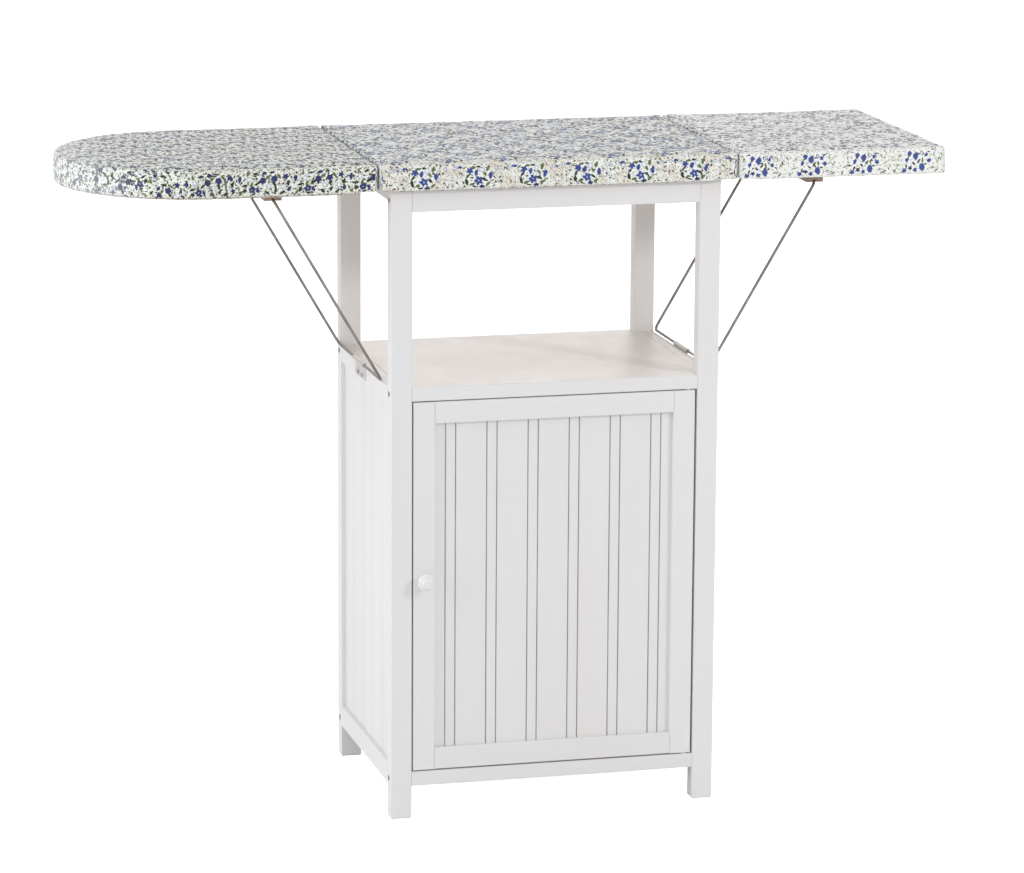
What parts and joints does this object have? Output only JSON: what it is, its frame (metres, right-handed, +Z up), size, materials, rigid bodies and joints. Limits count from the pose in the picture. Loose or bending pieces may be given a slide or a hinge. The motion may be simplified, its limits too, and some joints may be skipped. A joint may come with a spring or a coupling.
{
  "type": "ironing board cabinet",
  "caption": "Free-standing painted wood cabinet with a beaded door, an open shelf and a padded floral ironing board whose end sections fold down on wire props.",
  "frame": {"origin": "middle of the bounding box's footprint, on the floor", "axes": "+X along the board towards its square-cornered end, +Y from the door to the back, +Z up"},
  "size_m": [1.205, 0.3906, 0.912],
  "materials": {
    "white_paint": "satin white paint on wood",
    "knob_paint": "satin white paint on a turned wooden knob",
    "bolt_steel": "dull dark steel",
    "sheet_steel": "plain sheet steel",
    "wire_steel": "dull drawn wire",
    "bush_plastic": "matte",
    "catch_plastic": "matte",
    "board_wood": "unpainted",
    "cleat_wood": "unpainted",
    "felt_pad": "soft pad",
    "cotton_cover": "printed cotton with small flowers"
  },
  "bodies": {
    "cabinet": {"post_front_left": "white_paint", "post_front_right": "white_paint", "post_back_left": "white_paint", "post_back_right": "white_paint", "front_apron": "white_paint", "back_apron": "white_paint", "left_top_rail": "white_paint", "right_top_rail": "white_paint", "front_bottom_rail": "white_paint", "back_bottom_rail": "white_paint", "left_bottom_rail": "white_paint", "right_bottom_rail": "white_paint", "left_middle_rail": "white_paint", "right_middle_rail": "white_paint", "shelf": "white_paint", "bottom_panel": "white_paint", "left_side_panel": "white_paint", "right_side_panel": "white_paint", "back_panel": "white_paint", "frame_bolts": "bolt_steel", "bolt_inserts": "bolt_steel", "board_brackets": "sheet_steel", "pivot_pins": "bolt_steel", "pivot_washers": "bush_plastic", "door_catch": "catch_plastic", "centre_board": "board_wood", "centre_pad": "felt_pad", "centre_cover": "cotton_cover", "left_hinge_fixed_plates": "sheet_steel", "left_hinge_pins": "sheet_steel", "right_hinge_fixed_plates": "sheet_steel", "right_hinge_pins": "sheet_steel", "left_prop_clip": "sheet_steel", "right_prop_clip": "sheet_steel", "centre_board_screws": "bolt_steel", "prop_clip_screws": "bolt_steel"},
    "door": {"door_left_stile": "white_paint", "door_right_stile": "white_paint", "door_top_rail": "white_paint", "door_bottom_rail": "white_paint", "door_panel": "white_paint", "knob": "knob_paint", "knob_screw": "bolt_steel", "pivot_bushes": "bush_plastic", "catch_strike": "bolt_steel"},
    "left_leaf": {"left_board": "board_wood", "left_pad": "felt_pad", "left_cover": "cotton_cover", "left_hinge_moving_plates": "sheet_steel", "left_cleats": "cleat_wood", "left_board_screws": "bolt_steel"},
    "right_leaf": {"right_board": "board_wood", "right_pad": "felt_pad", "right_cover": "cotton_cover", "right_hinge_moving_plates": "sheet_steel", "right_cleats": "cleat_wood", "right_board_screws": "bolt_steel"},
    "left_prop": {"left_prop": "wire_steel"},
    "right_prop": {"right_prop": "wire_steel"}
  },
  "joints": [
    {"name": "door_hinge", "type": "hinge", "parent": "cabinet", "child": "door", "pos_m": [0.241, -0.16425, 0.3], "axis": [0, 0, 1], "range_deg": [0, 115]},
    {"name": "left_leaf_hinge", "type": "hinge", "parent": "cabinet", "child": "left_leaf", "pos_m": [-0.1975, 0.00475, 0.8718], "axis": [0, -1, 0], "range_deg": [0, 90]},
    {"name": "right_leaf_hinge", "type": "hinge", "parent": "cabinet", "child": "right_leaf", "pos_m": [0.3025, 0.00475, 0.8718], "axis": [0, 1, 0], "range_deg": [0, 90]},
    {"name": "left_prop_hinge", "type": "hinge", "parent": "cabinet", "child": "left_prop", "pos_m": [-0.1799, 0.01375, 0.6064], "axis": [0, -1, 0], "range_deg": [0, 149]},
    {"name": "right_prop_hinge", "type": "hinge", "parent": "cabinet", "child": "right_prop", "pos_m": [0.2849, 0.01375, 0.6064], "axis": [0, 1, 0], "range_deg": [0, 149]}
  ],
  "couplings": [
    {"joint": "left_prop_hinge", "follows": "left_leaf_hinge", "ratio": 1.65},
    {"joint": "right_prop_hinge", "follows": "right_leaf_hinge", "ratio": 1.65}
  ]
}
